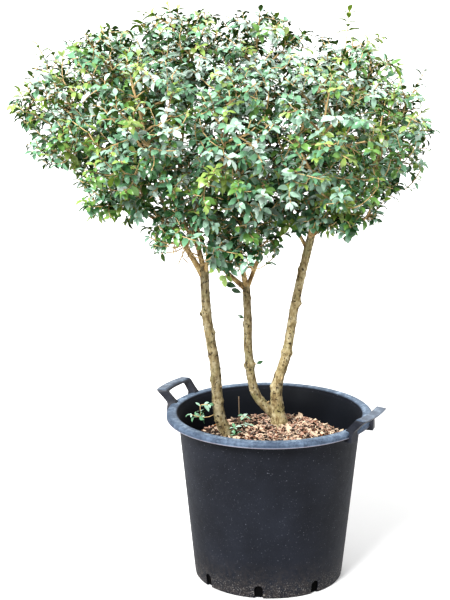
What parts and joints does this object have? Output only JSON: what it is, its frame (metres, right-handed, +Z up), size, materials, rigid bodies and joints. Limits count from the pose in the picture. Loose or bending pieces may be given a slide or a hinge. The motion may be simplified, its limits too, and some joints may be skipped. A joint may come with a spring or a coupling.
{
  "type": "potted osmanthus",
  "caption": "Multi-stem evergreen osmanthus with a wide, airy crown of small leathery leaves, standing in a large black plastic nursery container with carrying handles.",
  "frame": {"origin": "centre of the container's flat underside, on the ground", "axes": "+Z up, +X to the right of the front view, +Y away from the front view"},
  "size_m": [1.0871, 0.943, 1.5474],
  "materials": {
    "pot_plastic": "matte black plastic, bluish grey where light catches the lip",
    "soil": "rough bark chips over dark earth",
    "stem_bark": "dry, warty light bark",
    "young_bark": "smooth brown bark",
    "foliage": "leathery, softly glossy green leaves"
  },
  "bodies": {
    "root": {"pot": "pot_plastic", "handle_left": "pot_plastic", "handle_right": "pot_plastic", "soil": "soil", "stem_left": "stem_bark", "stem_right": "stem_bark", "stem_middle": "stem_bark", "bough_left_outer": "young_bark", "bough_left_top": "young_bark", "bough_left_inner": "young_bark", "bough_left_low": "young_bark", "bough_left_back": "young_bark", "bough_left_front": "young_bark", "bough_top_left": "young_bark", "bough_centre_back": "young_bark", "bough_centre_top": "young_bark", "bough_centre_low": "young_bark", "bough_centre_front": "young_bark", "bough_right_top": "young_bark", "bough_right_outer": "young_bark", "bough_right_front": "young_bark", "bough_right_inner": "young_bark", "bough_right_back": "young_bark", "bough_right_low": "young_bark", "foliage_left_outer": "foliage", "foliage_left_low": "foliage", "foliage_left_top": "foliage", "foliage_left_back": "foliage", "foliage_left_front": "foliage", "foliage_top_left": "foliage", "foliage_centre_top": "foliage", "foliage_centre_front": "foliage", "foliage_centre_back": "foliage", "foliage_centre_inner": "foliage", "foliage_low_left": "foliage", "foliage_low_centre": "foliage", "foliage_right_top": "foliage", "foliage_right_outer": "foliage", "foliage_right_low": "foliage", "foliage_right_front": "foliage", "foliage_right_back": "foliage", "basal_shoot": "foliage"}
  },
  "joints": []
}
